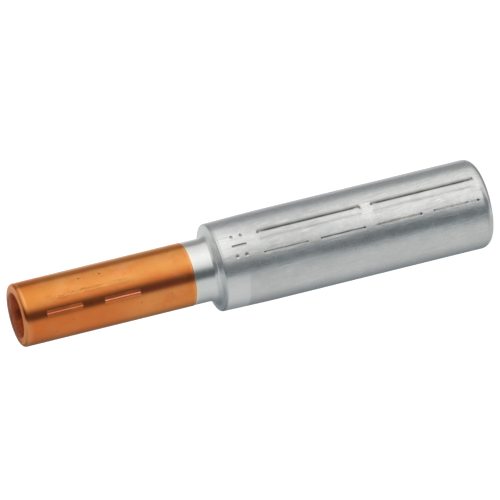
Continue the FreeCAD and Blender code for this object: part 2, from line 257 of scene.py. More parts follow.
# ------------------------------------------------------------------ turned meshes
def lathe(name, rings, phis, relief, materials):
    """rings: (radius, height, material index, displaced?) from one point on the axis to the
    other. phis: columns in degrees, 0 facing -Y and rising towards -X."""
    n, m = len(rings), len(phis)
    rad = np.radians(phis)
    verts = []
    r = np.array([q[0] for q in rings])[:, None]
    z = np.array([q[1] for q in rings])[:, None]
    moved = np.array([q[3] for q in rings])
    rr = np.repeat(r, m, 1)
    zz = np.repeat(z, m, 1)
    rows = np.where(moved)[0]
    # per vertex: residue and painted shade in the recesses, negative where a highlight is painted
    painted_light_and_residue = np.zeros((n, m))
    drop, painted_light_and_residue[rows] = relief(phis[None, :], z[rows])
    rr[rows] -= drop
    x, y = -rr * np.sin(rad)[None], -rr * np.cos(rad)[None]
    verts.append((0.0, 0.0, rings[0][1]))
    for i in range(1, n - 1):
        verts += list(zip(x[i], y[i], zz[i]))
    verts.append((0.0, 0.0, rings[-1][1]))
    last = len(verts) - 1
    at = lambda i, j: 1 + (i - 1) * m + j % m
    faces, index = [], []
    for j in range(m):
        faces.append((0, at(1, j), at(1, j + 1)))
        index.append(rings[1][2])
    for i in range(1, n - 2):
        for j in range(m):
            faces.append((at(i, j), at(i + 1, j), at(i + 1, j + 1), at(i, j + 1)))
            index.append(rings[i + 1][2])
    for j in range(m):
        faces.append((last, at(n - 2, j + 1), at(n - 2, j)))
        index.append(rings[n - 2][2])
    co = np.array(verts) * MM
    mesh = bpy.data.meshes.new(name)
    mesh.from_pydata(co.tolist(), [], faces)
    p = co[[f[0] for f in faces[m:-m]]], co[[f[1] for f in faces[m:-m]]], co[[f[2] for f in faces[m:-m]]]
    if np.einsum("ij,ij->i", p[0], np.cross(p[1], p[2])).sum() < 0:
        mesh.flip_normals()
    for mat in materials:
        mesh.materials.append(mat)
    mesh.polygons.foreach_set("material_index", np.array(index, np.int32))
    mesh.polygons.foreach_set("use_smooth", np.ones(len(faces), bool))
    values = np.concatenate([[0.0], painted_light_and_residue[1:n - 1].ravel(), [0.0]])
    layer = mesh.attributes.new("residue_and_painted_light", "FLOAT", "POINT")
    layer.data.foreach_set("value", values.astype(np.float32))
    mesh.update()
    obj = bpy.data.objects.new(name, mesh)
    scene.collection.objects.link(obj)
    return obj


# ------------------------------------------------------------------ material building
class Graph:
    def __init__(self, tree):
        self.tree = tree
        tree.nodes.clear()

    def node(self, kind, **values):
        n = self.tree.nodes.new(kind)
        for k, v in values.items():
            setattr(n, k, v)
        return n

    def put(self, socket, value):
        if isinstance(value, bpy.types.NodeSocket):
            self.tree.links.new(value, socket)
        elif isinstance(value, (tuple, list)) and len(value) == 3 and socket.type == "RGBA":
            socket.default_value = (*value, 1.0)
        else:
            socket.default_value = value

    def math(self, op, a, b=None, c=None, clamp=False):
        n = self.node("ShaderNodeMath", operation=op, use_clamp=clamp)
        for k, v in enumerate((a, b, c)):
            if v is not None:
                self.put(n.inputs[k], v)
        return n.outputs[0]

    def vec(self, op, a, b=None, scale=None):
        n = self.node("ShaderNodeVectorMath", operation=op)
        self.put(n.inputs[0], a)
        if b is not None:
            self.put(n.inputs[1], b)
        if scale is not None:
            self.put(n.inputs["Scale"], scale)
        return n.outputs[1] if op in ("LENGTH", "DOT_PRODUCT") else n.outputs[0]

    def xyz(self, vector):
        n = self.node("ShaderNodeSeparateXYZ")
        self.put(n.inputs[0], vector)
        return n.outputs

    def join(self, x, y, z):
        n = self.node("ShaderNodeCombineXYZ")
        for k, v in enumerate((x, y, z)):
            self.put(n.inputs[k], v)
        return n.outputs[0]

    def noise(self, vector, scale, detail=3.0, rough=0.55, distortion=0.0):
        n = self.node("ShaderNodeTexNoise")
        self.put(n.inputs["Vector"], vector)
        self.put(n.inputs["Scale"], scale)
        self.put(n.inputs["Detail"], detail)
        self.put(n.inputs["Roughness"], rough)
        self.put(n.inputs["Distortion"], distortion)
        return n.outputs["Fac"]

    def ramp(self, value, lo, hi, to_lo=0.0, to_hi=1.0, soft=False):
        n = self.node("ShaderNodeMapRange")
        if soft:
            n.interpolation_type = "SMOOTHSTEP"
        for k, v in zip(("Value", "From Min", "From Max", "To Min", "To Max"),
                        (value, lo, hi, to_lo, to_hi)):
            self.put(n.inputs[k], v)
        return n.outputs["Result"]

    def mix(self, fac, a, b):
        n = self.node("ShaderNodeMix", data_type="RGBA")
        self.put(n.inputs[0], fac)
        self.put(n.inputs[6], a)
        self.put(n.inputs[7], b)
        return n.outputs[2]

    def bump(self, height, strength, distance, normal=None):
        n = self.node("ShaderNodeBump")
        self.put(n.inputs["Height"], height)
        self.put(n.inputs["Strength"], strength)
        self.put(n.inputs["Distance"], distance)
        if normal is not None:
            self.put(n.inputs["Normal"], normal)
        return n.outputs[0]


def metal(name, build):
    mat = bpy.data.materials.new(name)
    mat.use_nodes = True
    g = Graph(mat.node_tree)
    out = g.node("ShaderNodeOutputMaterial")
    shader = g.node("ShaderNodeBsdfPrincipled")
    g.tree.links.new(shader.outputs[0], out.inputs[0])
    shader.inputs["Metallic"].default_value = 1.0
    where = g.node("ShaderNodeTexCoord").outputs["Object"]
    build(g, shader, where)
    return mat


# reads the per-vertex residue, painted shade and painted highlights
def residue_and_painted_light(g):
    n = g.node("ShaderNodeAttribute", attribute_type="GEOMETRY", attribute_name="residue_and_painted_light")
    return n.outputs["Fac"]


def scratches(g, p, lean, across, along, lo, hi):
    """Thin stray marks on a round wall. lean is their angle to the part's axis, in degrees."""
    if lean < 45:
        turned = g.node("ShaderNodeVectorRotate", rotation_type="Z_AXIS")
        g.put(turned.inputs["Vector"], p)
        g.put(turned.inputs["Angle"], g.math("MULTIPLY", g.xyz(p)[2],
                                             math.tan(math.radians(lean)) / (R_BARREL * MM)))
        field = g.noise(g.vec("MULTIPLY", turned.outputs[0], (across, across, along)), 1.0, 2.0, 0.5)
    else:
        x, y, z = g.xyz(p)
        slope = g.math("MULTIPLY_ADD", x, math.tan(math.radians(90 - lean)), z)
        field = g.noise(g.vec("MULTIPLY", g.join(x, y, slope), (along, along, across)), 1.0, 2.0, 0.5)
    return g.ramp(field, lo, hi)


def drawn_aluminium(g, s, p):
    """Satin drawn barrel: long fine grain, mottle, scattered pits and stray scratches, a cleaner
    turned lead towards the shoulder, residue and painted shade in the stamped marks, painted light and shade on the
    front."""
    x, y, z = g.xyz(p)
    grain = g.noise(g.join(x, y, g.math("MULTIPLY", z, 0.06)), 5200, 3, 0.6)
    mottle = g.noise(p, 620, 4, 0.6)
    streaks = g.noise(g.join(x, y, g.math("MULTIPLY", z, 0.30)), 700, 3, 0.55)
    front = g.ramp(y, 0.0010, -0.0020, soft=True)
    cloud = g.noise(g.join(x, y, g.math("MULTIPLY", z, 0.45)), 260, 3, 0.55)
    fine = g.noise(p, 9000, 2, 0.5)
    pit = g.ramp(g.noise(p, 1500, 1, 0.4), 0.735, 0.79)
    fleck = g.ramp(g.noise(g.vec("ADD", p, (0.031, 0.017, 0.011)), 1900, 1, 0.4), 0.73, 0.78)
    long_scratch = scratches(g, p, 4.0, 3600.0, 230.0, 0.58, 0.71)
    bright_scratch = scratches(g, p, 3.0, 2600.0, 420.0, 0.58, 0.71)
    short_scratch = scratches(g, p, 68.0, 3000.0, 300.0, 0.66, 0.74)
    drift = g.noise(g.vec("ADD", p, (0.02, 0.03, 0.01)), 75, 2, 0.5)
    tone = g.noise(g.vec("ADD", p, (0.07, 0.01, 0.04)), 240, 3, 0.5)
    # painted light: on the front the upper side's colour runs paler than the lower side's
    upper = g.mix(g.ramp(cloud, 0.28, 0.72), (0.690, 0.700, 0.688), (0.845, 0.850, 0.832))
    lower = g.mix(g.ramp(cloud, 0.30, 0.70), (0.694, 0.693, 0.694), (0.799, 0.795, 0.797))
    base = g.mix(g.math("MULTIPLY", g.ramp(x, 0.0004, -0.0008), front), upper, lower)
    base = g.mix(g.ramp(mottle, 0.30, 0.70, 0.0, 0.40), base, (0.765, 0.772, 0.770))
    base = g.mix(g.ramp(tone, 0.42, 0.66, 0.0, 0.45), base, (0.735, 0.750, 0.780))
    base = g.mix(g.ramp(drift, 0.35, 0.65, 0.14, 0.0), base, (0.50, 0.51, 0.53))
    # random pale and dark blotches, stronger on the upper side, where they also paint a patchy highlight
    blotch = g.noise(g.vec("ADD", p, (0.013, 0.041, 0.022)), 820, 2, 0.5, 0.6)
    spread = g.ramp(x, -0.0008, 0.0006, 0.35, 1.0, soft=True)
    base = g.mix(g.math("MULTIPLY", g.ramp(blotch, 0.54, 0.66, soft=True), g.math("MULTIPLY", spread, 0.42)), base,
                 (0.90, 0.90, 0.885))
    base = g.mix(g.math("MULTIPLY", g.ramp(blotch, 0.46, 0.34, soft=True), g.math("MULTIPLY", spread, 0.30)), base,
                 (0.60, 0.61, 0.61))
    # painted highlight: the bright side is paler towards the open end, with a band of painted shade further along
    bright_side = g.math("MULTIPLY", g.ramp(x, -0.0004, 0.0008, soft=True), front)
    base = g.mix(g.math("MULTIPLY", bright_side, g.ramp(z, 0.029, 0.020, 0.0, 0.22, soft=True)), base,
                 (0.93, 0.93, 0.915))
    painted_dim_band = g.math("MULTIPLY", g.ramp(z, 0.024, 0.029, soft=True), g.ramp(z, 0.0385, 0.036, soft=True))
    base = g.mix(g.math("MULTIPLY", g.math("MULTIPLY", bright_side, painted_dim_band), 0.20), base, (0.50, 0.50, 0.50))
    # painted shade along its upper and lower sides, bluer towards the top on the front
    base = g.mix(g.ramp(x, -0.0053, -0.0064, 0.0, 0.36, soft=True), base, (0.45, 0.46, 0.48))
    base = g.mix(g.math("MULTIPLY", g.ramp(x, 0.0059, 0.0066, 0.0, 0.92, soft=True),
                        g.ramp(x, 0.00695, 0.00668, 0.45, 1.0)), base, (0.45, 0.455, 0.465))
    base = g.mix(g.math("MULTIPLY", front, g.ramp(x, 0.0048, 0.0058, 0.0, 0.40, soft=True)), base, (0.73, 0.76, 0.80))
    base = g.mix(g.math("MULTIPLY", g.ramp(x, -0.0062, -0.0070, 0.0, 0.34, soft=True), g.ramp(z, 0.018, 0.026)), base,
                 (0.42, 0.43, 0.44))
    # a painted highlight line along the front, plainer towards the open end
    pale = g.math("MULTIPLY", g.ramp(x, 0.0002, -0.0006, soft=True), g.ramp(x, -0.0029, -0.0020, soft=True))
    pale = g.math("MULTIPLY", pale, front)
    base = g.mix(g.math("MULTIPLY", pale, g.math("ADD", g.ramp(z, 0.008, 0.020, 0.75, 0.32),
                                                g.math("MULTIPLY", g.ramp(z, 0.025, 0.031, 0.0, 0.50),
                                                       g.ramp(z, 0.0385, 0.036)))), base, (0.90, 0.93, 0.965))
    low_side = g.math("MULTIPLY", g.ramp(x, -0.0005, -0.0020, soft=True), front)
    behind = g.math("SUBTRACT", 1.0, front)
    # the turned lead is paler all round; on the front its paleness is left off the middle band, which stays darker as
    # painted shade
    lead = g.math("ADD", g.math("MULTIPLY", g.ramp(x, -0.0018, -0.0024, soft=True),
                                g.ramp(z, 0.0402, 0.0408, 0.0, 0.75, soft=True)),
                  g.math("MULTIPLY", g.math("MULTIPLY", g.ramp(x, -0.0006, 0.0004, soft=True),
                                            g.ramp(x, 0.0050, 0.0061, 1.0, 0.25, soft=True)),
                         g.ramp(z, 0.0395, 0.0432, 0.0, 0.85, soft=True)))
    lead = g.math("ADD", g.math("MULTIPLY", lead, front),
                  g.math("MULTIPLY", behind, g.ramp(z, 0.0398, 0.0416, 0.0, 0.70, soft=True)))
    base = g.mix(lead, base, (0.895, 0.890, 0.892))
    # painted shade along the edge where the lead meets the shoulder, strongest on the upper side
    base = g.mix(g.math("MULTIPLY", g.ramp(z, 0.0437, 0.0442, 0.0, 0.45, soft=True),
                        g.ramp(x, -0.0008, 0.0006, 0.15, 1.0, soft=True)), base, (0.40, 0.41, 0.42))
    # a painted highlight between the two long marks, where the metal is pressed up
    painted_highlight_spot = g.vec("LENGTH", g.vec("MULTIPLY", g.vec("SUBTRACT", p, (0.0028, -0.0065, 0.0198)),
                                 (1.0, 0.6, 1.35)))
    ragged = g.math("MULTIPLY_ADD", g.math("SUBTRACT", g.noise(p, 1500, 2, 0.5), 0.5), 0.0032, painted_highlight_spot)
    base = g.mix(g.ramp(ragged, 0.0019, 0.0006, 0.0, 0.55, soft=True), base, (0.93, 0.93, 0.915))
    strong = g.math("MULTIPLY", g.ramp(x, -0.0026, -0.0018, 0.45, 1.0), g.ramp(front, 0.0, 1.0, 0.45, 1.0))
    strong = g.math("MULTIPLY", strong, g.ramp(x, 0.0050, 0.0066, 1.0, 0.4, soft=True))
    base = g.mix(g.math("MULTIPLY", pit, 0.12), base, (0.38, 0.39, 0.40))
    base = g.mix(g.math("MULTIPLY", fleck, 0.20), base, (0.93, 0.93, 0.92))
    base = g.mix(g.math("MULTIPLY", g.math("MULTIPLY", long_scratch, strong), 0.42), base, (0.48, 0.49, 0.50))
    base = g.mix(g.math("MULTIPLY", g.math("MULTIPLY", bright_scratch, strong), 0.46), base,
                 (0.97, 0.97, 0.955))
    base = g.mix(g.math("MULTIPLY", short_scratch, 0.20), base, (0.92, 0.93, 0.93))
    residue_shade_and_glint = residue_and_painted_light(g)
    # negative values paint highlights beside the marks; positive ones paint residue and shade in them
    base = g.mix(g.math("MULTIPLY", residue_shade_and_glint, -0.6, clamp=True), base, (0.97, 0.97, 0.95))
    base = g.mix(g.math("MULTIPLY", residue_shade_and_glint, 0.93, clamp=True), base, (0.125, 0.125, 0.12))
    g.put(s.inputs["Base Color"], base)
    s.inputs["Metallic"].default_value = 0.95
    rough = g.math("ADD", g.ramp(mottle, 0.3, 0.7, 0.25, 0.34), g.ramp(cloud, 0.35, 0.65, 0.025, -0.025))
    rough = g.math("ADD", rough, g.math("MULTIPLY", residue_shade_and_glint, 0.2, clamp=True))
    rough = g.math("ADD", rough, g.ramp(z, 0.034, 0.012, 0.0, -0.055))
    g.put(s.inputs["Roughness"], rough)
    # the drawn surface runs very slightly askew along its length, and not quite evenly
    twist = g.node("ShaderNodeVectorRotate", rotation_type="Z_AXIS")
    g.put(twist.inputs["Vector"], g.node("ShaderNodeNewGeometry").outputs["Normal"])
    lean = g.math("MULTIPLY", g.ramp(z, 0.044, 0.006, math.radians(0.4), math.radians(4.6)),
                  g.ramp(x, 0.0052, 0.0030, soft=True))
    g.put(twist.inputs["Angle"], g.math("ADD", lean, g.ramp(drift, 0.3, 0.7, math.radians(-1.5),
                                                            math.radians(1.5))))
    n1 = g.bump(grain, 0.35, 0.00002, twist.outputs[0])
    n2 = g.bump(streaks, 0.45, 0.00005, g.bump(mottle, 0.22, 0.00006, n1))
    n3 = g.bump(g.math("SUBTRACT", g.math("ADD", bright_scratch, long_scratch), short_scratch), 0.35,
                0.00001, n2)
    n4 = g.bump(fine, 0.20, 0.00001, n3)
    g.put(s.inputs["Normal"], n4)


def turned_aluminium(g, s, p):
    """Bright turned neck and shoulder: fine rings left by the tool, painted shade on the lower side, along the edges
    and on the shoulder face.
    """
    x, y, z = g.xyz(p)
    radius = g.math("SQRT", g.math("ADD", g.math("MULTIPLY", x, x), g.math("MULTIPLY", y, y)))
    along = g.math("ADD", z, g.math("MULTIPLY", radius, 0.83))
    rings = g.noise(g.join(0.0, 0.0, along), 9000, 3, 0.6)
    broad = g.noise(g.join(0.0, 0.0, along), 2300, 2, 0.5)
    mottle = g.noise(p, 1100, 3, 0.6)
    base = g.mix(g.ramp(mottle, 0.3, 0.7), (0.86, 0.865, 0.86), (0.92, 0.922, 0.915))
    base = g.mix(g.ramp(broad, 0.45, 0.7, 0.0, 0.25), base, (0.80, 0.80, 0.80))
    # painted shade on the lower side and along the upper edge
    base = g.mix(g.ramp(x, -0.0028, -0.0044, 0.0, 0.36, soft=True), base, (0.50, 0.51, 0.52))
    base = g.mix(g.ramp(x, 0.0041, 0.0047, 0.0, 0.18, soft=True), base, (0.50, 0.51, 0.52))
    # warm bright line beside the weld: a weld tint and a painted reflection of the copper
    base = g.mix(g.ramp(z, (WELD - 0.60) * MM, (WELD - 0.05) * MM, 0.0, 0.9, soft=True), base,
                 (1.0, 0.92, 0.72))
    wide = g.ramp(radius, 0.00505, 0.00560)
    low = g.ramp(x, -0.0030, -0.0060, 0.0, 0.72, soft=True)
    rim = g.ramp(radius, 0.00672, 0.00682)
    # painted shade on the lower side of the shoulder face and along its rounded rim, the rim darkest on the upper side
    base = g.mix(g.math("MULTIPLY", wide, low), base, (0.42, 0.44, 0.46))
    base = g.mix(g.math("MULTIPLY", rim, g.ramp(x, -0.0005, 0.0015, 0.62, 0.78)), base, (0.40, 0.41, 0.42))
    # the face's tool marks scatter more light than the neck's; its colour is painted light: paler on the upper side,
    # bluer lower down, with painted shade near the top edge and on the lower side
    face = g.mix(g.ramp(x, -0.0005, 0.0040, soft=True), (0.79, 0.86, 0.91), (0.88, 0.905, 0.925))
    face = g.mix(g.ramp(x, 0.0034, 0.0044, 0.0, 0.5, soft=True), face, (0.70, 0.72, 0.73))
    face = g.mix(low, face, (0.40, 0.42, 0.44))
    base = g.mix(g.math("MULTIPLY", wide, 0.70), base, face)
    g.put(s.inputs["Base Color"], base)
    g.put(s.inputs["Roughness"], g.math("ADD", g.ramp(mottle, 0.3, 0.7, 0.13, 0.20),
                                        g.math("MULTIPLY", wide, 0.12)))
    g.put(s.inputs["Normal"], g.bump(mottle, 0.12, 0.00003, g.bump(rings, 0.25, 0.00001)))


def bored_aluminium(g, s, p):
    mottle = g.noise(p, 1500, 4, 0.6)
    g.put(s.inputs["Base Color"], g.mix(mottle, (0.60, 0.61, 0.62), (0.76, 0.77, 0.78)))
    g.put(s.inputs["Roughness"], g.ramp(mottle, 0.3, 0.7, 0.42, 0.56))
    x, y, z = g.xyz(p)
    g.put(s.inputs["Normal"], g.bump(g.noise(g.join(0.0, 0.0, z), 4000, 3, 0.6), 0.4, 0.00002))


def copper_tone(g, p):
    """Warm copper with a thin uneven film; on the front its colour holds painted reflection tones and painted shade,
    redder and browner on its lower side.
    """
    x, y, z = g.xyz(p)
    cloud = g.noise(g.join(x, y, g.math("MULTIPLY", z, 0.5)), 330, 3, 0.55)
    patch = g.noise(g.vec("ADD", p, (0.05, 0.02, 0.03)), 520, 3, 0.6)
    warm = g.noise(g.vec("ADD", g.join(x, y, g.math("MULTIPLY", z, 0.6)), (0.01, 0.07, 0.02)), 210, 2, 0.5)
    upper = g.mix(g.ramp(cloud, 0.33, 0.67), (0.83, 0.310, 0.078), (0.90, 0.385, 0.108))
    lower = g.mix(g.ramp(cloud, 0.33, 0.67), (0.96, 0.285, 0.070), (1.0, 0.365, 0.105))
    front = g.ramp(y, 0.0010, -0.0012, soft=True)
    low_side = g.math("MULTIPLY_ADD", g.math("SUBTRACT", g.ramp(x, -0.0010, -0.0019, soft=True), 0.6), front, 0.6)
    # painted reflection tone: on the front the lower side is redder than the upper side
    base = g.mix(low_side, upper, lower)
    # a redder band along the front: a painted reflection
    painted_red_band = g.math("MULTIPLY", g.ramp(x, 0.0014, -0.0003, soft=True), g.ramp(x, -0.0018, -0.0010, soft=True))
    base = g.mix(g.math("MULTIPLY", painted_red_band, g.math("MULTIPLY", front, 0.88)), base, (1.0, 0.190, 0.078))
    # a redder band just above it on the front: painted reflection tone
    flank = g.math("MULTIPLY", g.ramp(x, 0.0016, 0.0004, soft=True), g.ramp(x, -0.0006, 0.0000, soft=True))
    base = g.mix(g.math("MULTIPLY", flank, g.math("MULTIPLY", front, 0.55)), base, (0.96, 0.255, 0.040))
    # redder along the far upper side, and paler at its edge: painted reflection tone and a painted highlight
    base = g.mix(g.math("MULTIPLY", g.ramp(x, 0.0036, 0.0044, 0.0, 0.65, soft=True),
                        g.ramp(y, 0.0028, 0.0010, soft=True)), base, (0.98, 0.245, 0.055))
    base = g.mix(g.math("MULTIPLY", g.ramp(x, 0.0045, 0.00488, 0.0, 0.8, soft=True),
                        g.ramp(y, 0.0028, 0.0010, soft=True)), base, (1.0, 0.56, 0.27))
    # painted shade near the mouth on the upper side
    deeper = g.math("MULTIPLY", g.ramp(x, 0.0004, 0.0012), g.ramp(z, 0.0685, 0.0725, 0.0, 0.72, soft=True))
    base = g.mix(g.math("MULTIPLY", deeper, front), base, (0.81, 0.262, 0.045))
    far = g.math("MULTIPLY", g.ramp(x, 0.0030, 0.0040, soft=True), g.ramp(z, 0.0690, 0.0730, 0.0, 0.60, soft=True))
    base = g.mix(g.math("MULTIPLY", far, g.ramp(y, 0.0028, 0.0010, soft=True)), base, (0.96, 0.215, 0.040))
    # painted reflection tone: redder still near the mouth on the lower side, with painted shade along its lower edge
    mouth = g.math("MULTIPLY", g.math("MULTIPLY", g.ramp(x, 0.0006, -0.0012, soft=True), front),
                   g.ramp(z, 0.0550, 0.0645, 0.0, 0.68, soft=True))
    base = g.mix(mouth, base, (0.88, 0.195, 0.042))
    under = g.math("MULTIPLY", g.ramp(x, -0.0026, -0.0042, soft=True), g.ramp(z, 0.0700, 0.0735, 0.0, 0.26, soft=True))
    base = g.mix(g.math("MULTIPLY", under, front), base, (0.52, 0.125, 0.035))
    base = g.mix(g.ramp(patch, 0.52, 0.70, 0.0, 0.50), base, (0.90, 0.225, 0.042))
    # near the deburred mouth: a painted highlight along its lower side, a painted highlight line above, painted shade
    # in the reflected band
    edge = g.math("MULTIPLY", g.ramp(z, (TOTAL - 1.30) * MM, (TOTAL - 0.15) * MM, 0.0, 0.85),
                  g.ramp(x, -0.0004, -0.0014, soft=True))
    base = g.mix(g.math("MULTIPLY", edge, front), base, (1.0, 0.37, 0.135))
    edge = g.math("MULTIPLY", g.ramp(z, (TOTAL - 0.95) * MM, (TOTAL - 0.70) * MM, soft=True),
                  g.ramp(z, (TOTAL - 0.40) * MM, (TOTAL - 0.60) * MM, soft=True))
    edge = g.math("MULTIPLY", edge, g.ramp(x, 0.0002, 0.0012, 0.0, 0.65, soft=True))
    base = g.mix(g.math("MULTIPLY", edge, front), base, (1.0, 0.50, 0.23))
    edge = g.math("MULTIPLY", g.ramp(z, (TOTAL - 0.60) * MM, (TOTAL - 0.40) * MM, 0.0, 0.75, soft=True),
                  g.math("MULTIPLY", g.ramp(x, 0.0013, 0.0004, soft=True), g.ramp(x, -0.0014, -0.0006, soft=True)))
    base = g.mix(g.math("MULTIPLY", edge, front), base, (0.62, 0.085, 0.010))
    # random yellower patches on the upper front, in the highlight: painted highlight tone
    base = g.mix(g.math("MULTIPLY", g.ramp(warm, 0.53, 0.70, 0.0, 0.55),
                        g.math("MULTIPLY", g.ramp(x, 0.0000, 0.0008), g.ramp(y, -0.0005, -0.0020))), base,
                 (0.88, 0.42, 0.085))
    pink = g.noise(g.vec("ADD", p, (0.03, 0.09, 0.01)), 400, 2, 0.5)
    base = g.mix(g.math("MULTIPLY", g.ramp(pink, 0.55, 0.72, 0.0, 0.45), g.ramp(x, -0.0012, 0.0004, 0.35, 1.0)), base,
                 (0.90, 0.36, 0.16))
    # paler where the weld was trimmed
    base = g.mix(g.ramp(z, (WELD + 0.55) * MM, (WELD + 0.05) * MM, 0.0, 0.55, soft=True), base, (1.0, 0.52, 0.25))
    return base


def bright_copper(g, s, p):
    """Drawn copper: glossy, faint long grain, small stains, and in the marks residue, pale scuffs, painted shade and
    painted highlights.
    """
    x, y, z = g.xyz(p)
    grain = g.noise(g.join(x, y, g.math("MULTIPLY", z, 0.05)), 4200, 3, 0.6)
    mottle = g.noise(p, 700, 4, 0.6)
    spots = g.ramp(g.noise(p, 1700, 1, 0.4), 0.72, 0.78)
    streak = scratches(g, p, 6.0, 3600.0, 190.0, 0.66, 0.73)
    base = copper_tone(g, p)
    base = g.mix(g.math("MULTIPLY", spots, 0.4), base, (0.50, 0.16, 0.045))
    base = g.mix(g.math("MULTIPLY", streak, 0.22), base, (0.96, 0.50, 0.19))
    residue_shade_and_glint = residue_and_painted_light(g)
    # residue and painted shade in the marks; negative values paint pale scuffs and highlights
    base = g.mix(g.math("MULTIPLY", residue_shade_and_glint, 0.85, clamp=True), base, (0.30, 0.10, 0.035))
    base = g.mix(g.math("MULTIPLY", residue_shade_and_glint, -0.75, clamp=True), base, (0.98, 0.52, 0.30))
    g.put(s.inputs["Base Color"], base)
    rough = g.math("ADD", g.ramp(mottle, 0.3, 0.7, 0.16, 0.23), g.math("MULTIPLY", spots, 0.12))
    g.put(s.inputs["Roughness"], rough)
    g.put(s.inputs["Normal"], g.bump(mottle, 0.18, 0.00004, g.bump(grain, 0.25, 0.00001)))
    s.inputs["Specular Tint"].default_value = (1.0, 0.85, 0.75, 1.0)


def cut_copper(g, s, p):
    """The sawn and deburred mouth: a little duller, browner on the lower side, with painted shade on its far side and
    across the front's middle, and a painted highlight along the top.
    """
    x, y, z = g.xyz(p)
    mottle = g.noise(p, 1600, 4, 0.6)
    base = g.mix(mottle, (0.92, 0.37, 0.155), (0.98, 0.47, 0.225))
    radius = g.math("SQRT", g.math("ADD", g.math("MULTIPLY", x, x), g.math("MULTIPLY", y, y)))
    base = g.mix(g.math("MULTIPLY", g.ramp(x, -0.0026, -0.0040, 0.0, 0.50, soft=True),
                        g.ramp(radius, 0.0046, 0.0043)), base, (0.64, 0.38, 0.18))
    inner = g.math("MULTIPLY", g.ramp(radius, 0.00455, 0.0037, 0.0, 0.52), g.ramp(x, 0.0034, -0.0004, 0.35, 1.0))
    base = g.mix(g.math("MULTIPLY", inner, g.ramp(y, 0.0018, 0.0002)), base, (0.45, 0.155, 0.045))
    # painted shade across the middle of the front, where the dark band is reflected
    edge = g.math("MULTIPLY", g.ramp(x, 0.0014, 0.0003, 0.0, 0.34, soft=True), g.ramp(x, -0.0014, -0.0004, soft=True))
    base = g.mix(g.math("MULTIPLY", edge, g.ramp(y, -0.0028, -0.0034)), base, (0.45, 0.22, 0.13))
    # painted shade on the far side
    far = g.mix(g.ramp(x, -0.0018, 0.0012, soft=True), (0.19, 0.088, 0.104), (0.35, 0.160, 0.160))
    far = g.mix(g.ramp(radius, 0.0042, 0.0046, 0.0, 0.45), far, (0.17, 0.065, 0.060))
    base = g.mix(g.ramp(y, -0.0012, 0.0020, 0.0, 0.9, soft=True), base, far)
    # painted highlight along the top
    base = g.mix(g.ramp(x, 0.0026, 0.0038, 0.0, 0.85, soft=True), base, (0.86, 0.53, 0.36))
    g.put(s.inputs["Base Color"], base)
    s.inputs["Specular Tint"].default_value = (1.0, 0.62, 0.42, 1.0)
    g.put(s.inputs["Roughness"], g.ramp(mottle, 0.3, 0.7, 0.18, 0.27))
    g.put(s.inputs["Normal"], g.bump(mottle, 0.2, 0.00003))


def bored_copper(g, s, p):
    """Drilled wall: painted light near the mouth with painted shade on its lower side there, a dark patch on the far
    wall, redder inside.
    """
    x, y, z = g.xyz(p)
    mottle = g.noise(p, 1300, 4, 0.6)
    base = g.mix(mottle, (0.88, 0.26, 0.095), (0.98, 0.34, 0.135))
    dark_patch = g.vec("LENGTH", g.vec("MULTIPLY", g.vec("SUBTRACT", p, (0.0002, 0.0035, (TOTAL - 1.25) * MM)),
                                  (1.0, 0.3, 1.0)))
    base = g.mix(g.ramp(dark_patch, 0.0010, 0.0005, 0.0, 0.80, soft=True), base, (0.40, 0.14, 0.045))
    # painted shade on the lower side near the mouth
    low_side_shade = g.math("MULTIPLY", g.ramp(z, (TOTAL - 0.9) * MM, (TOTAL - 0.1) * MM, soft=True),
                  g.ramp(x, 0.0, -0.0012, 0.0, 0.6, soft=True))
    low_side_shade = g.math("MULTIPLY", low_side_shade, g.ramp(x, -0.0031, -0.0025, soft=True))
    base = g.mix(low_side_shade, base, (0.40, 0.12, 0.06))
    # painted light near the mouth, where the light comes in
    paler = g.math("MULTIPLY", g.ramp(z, (TOTAL - 1.6) * MM, (TOTAL - 0.1) * MM, 0.0, 0.9, soft=True),
                   g.math("ADD", g.ramp(x, -0.0012, 0.0004, 0.15, 1.0, soft=True),
                          g.ramp(x, -0.0025, -0.0031, 0.0, 0.7, soft=True)))
    base = g.mix(paler, base, (1.0, 0.44, 0.25))
    g.put(s.inputs["Base Color"], base)
    s.inputs["Specular Tint"].default_value = (1.0, 0.62, 0.42, 1.0)
    g.put(s.inputs["Roughness"], g.ramp(mottle, 0.3, 0.7, 0.45, 0.58))
    g.put(s.inputs["Normal"], g.bump(g.noise(g.join(0.0, 0.0, z), 4000, 3, 0.6), 0.4, 0.00002))


